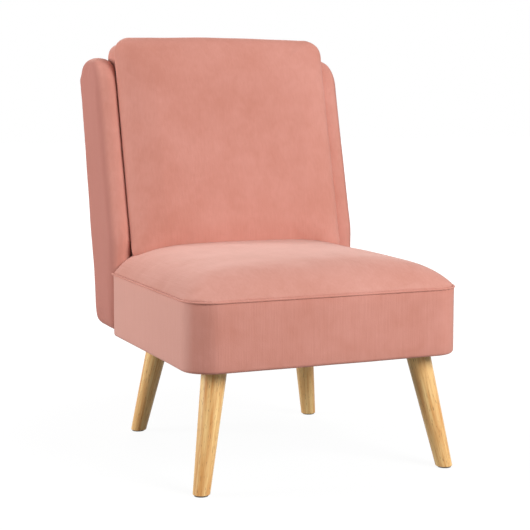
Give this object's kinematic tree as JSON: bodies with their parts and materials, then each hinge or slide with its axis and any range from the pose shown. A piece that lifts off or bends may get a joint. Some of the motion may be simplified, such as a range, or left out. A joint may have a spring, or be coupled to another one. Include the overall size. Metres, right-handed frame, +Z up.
{
  "type": "accent chair",
  "caption": "Armless upholstered accent chair with a crowned boxed seat, a reclined back cushion between padded side wings, and splayed tapered wooden legs.",
  "frame": {"origin": "on the floor under the middle of the chair's overall box", "axes": "+Z up, the chair faces -Y, +X to the right of someone who looks at its front; left nodes are at -X"},
  "size_m": [0.593, 0.7399, 0.8954],
  "materials": {
    "velvet": "soft dusty rose velvet pile",
    "leg_wood": "clear satin lacquer",
    "frame_wood": "raw sawn plywood and pine",
    "dowel_wood": "fluted beech",
    "steel": "zinc plated",
    "glide_plastic": "moulded",
    "foam": "open cell",
    "felt": "needled",
    "wadding": "polyester fleece",
    "webbing": "woven elastic",
    "lining": "spunbond",
    "hardboard": "pressed fibre"
  },
  "bodies": {
    "root": {"leg_front_left": "leg_wood", "leg_front_right": "leg_wood", "leg_rear_left": "leg_wood", "leg_rear_right": "leg_wood", "leg_hanger_bolts": "steel", "leg_tee_nuts": "steel", "foot_glides": "glide_plastic", "seat_frame_dowels": "dowel_wood", "leg_board_screws": "steel", "back_bolts": "steel", "back_bolt_washers": "steel", "back_tee_nuts": "steel", "seat_springs": "steel", "spring_clips": "steel", "spring_clip_nails": "steel", "seat_front_rail": "frame_wood", "seat_left_rail": "frame_wood", "seat_right_rail": "frame_wood", "seat_cross_rail": "frame_wood", "seat_rear_rail": "frame_wood", "seat_left_extension_rail": "frame_wood", "seat_right_extension_rail": "frame_wood", "seat_corner_posts": "frame_wood", "seat_front_leg_board": "frame_wood", "seat_rear_leg_board": "frame_wood", "seat_felt_pad": "felt", "seat_foam": "foam", "seat_top_cover": "velvet", "seat_side_band": "velvet", "seat_side_wadding": "wadding", "seat_dust_cover": "lining", "wing_bolts": "steel", "wing_bolt_washers": "steel", "wing_tee_nuts": "steel", "wing_left_cover": "velvet", "wing_right_cover": "velvet", "wing_left_foam": "foam", "wing_right_foam": "foam", "wing_left_board": "frame_wood", "wing_right_board": "frame_wood", "back_top_rail": "frame_wood", "back_middle_rail": "frame_wood", "back_bottom_rail": "frame_wood", "back_frame_dowels": "dowel_wood", "back_left_post": "frame_wood", "back_right_post": "frame_wood", "back_webbing_straps": "webbing", "back_cushion_cover": "velvet", "back_cushion_foam": "foam", "back_stiffener_panel": "hardboard", "back_rear_cover": "velvet"}
  },
  "joints": []
}
